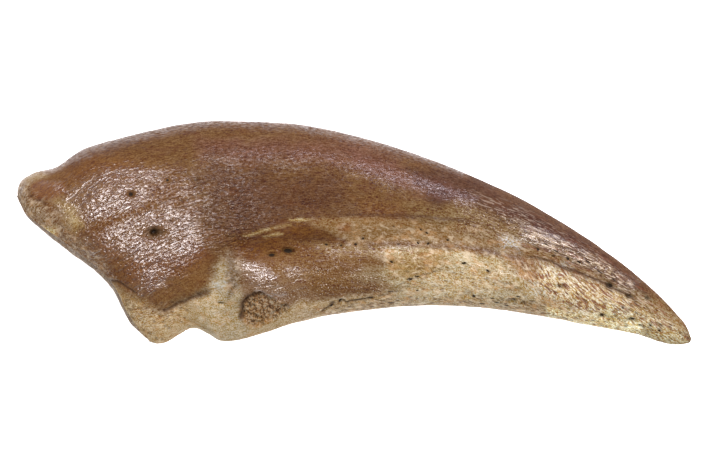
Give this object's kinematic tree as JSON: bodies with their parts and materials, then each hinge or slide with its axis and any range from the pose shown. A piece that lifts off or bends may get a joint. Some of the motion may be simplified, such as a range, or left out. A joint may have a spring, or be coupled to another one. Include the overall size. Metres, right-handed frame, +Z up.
{
  "type": "dinosaur fossil claw",
  "caption": "Fossil claw bone of a meat-eating dinosaur: curved pointed blade, cupped joint face, tendon knob and claw groove, lying on its side.",
  "frame": {"origin": "centre of the bounding box's underside, on the surface that the claw lies on", "axes": "+X along the claw from the joint end to the tip, +Y from the inner curve to the outer curve, +Z up, across the bone's thickness"},
  "size_m": [0.1256, 0.0418, 0.0251],
  "materials": {
    "fossil_bone": "glossy consolidated fossil bone, brown to tan, with a streaky grain and fine pores"
  },
  "bodies": {
    "root": {"claw": "fossil_bone"}
  },
  "joints": []
}
